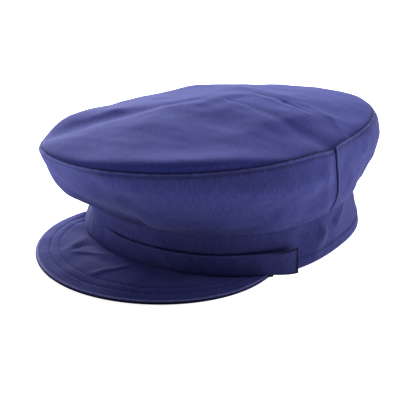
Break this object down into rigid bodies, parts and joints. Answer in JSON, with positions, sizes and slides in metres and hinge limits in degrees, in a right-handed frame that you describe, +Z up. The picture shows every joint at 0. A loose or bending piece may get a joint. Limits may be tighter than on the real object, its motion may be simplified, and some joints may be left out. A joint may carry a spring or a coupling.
{
  "type": "engineer cap",
  "caption": "Soft cotton engineer cap with an oval pillow crown, a plain head band, a sewn front strap and a short stitched peak, resting on its band.",
  "frame": {"origin": "On the surface that the cap stands on, under the middle of the whole cap's box", "axes": "+Z up, -Y towards the peak, +X towards the wearer's left side"},
  "size_m": [0.1967, 0.2683, 0.0955],
  "materials": {
    "crown_cloth": "washed blue cotton drill, matt",
    "band_cloth": "washed blue cotton drill, matt",
    "peak_cloth": "washed blue cotton drill over a stiff peak, stitched in rows, matt"
  },
  "bodies": {
    "root": {"crown_top": "crown_cloth", "crown_front": "crown_cloth", "crown_back": "crown_cloth", "band": "band_cloth", "strap": "band_cloth", "peak": "peak_cloth"}
  },
  "joints": []
}
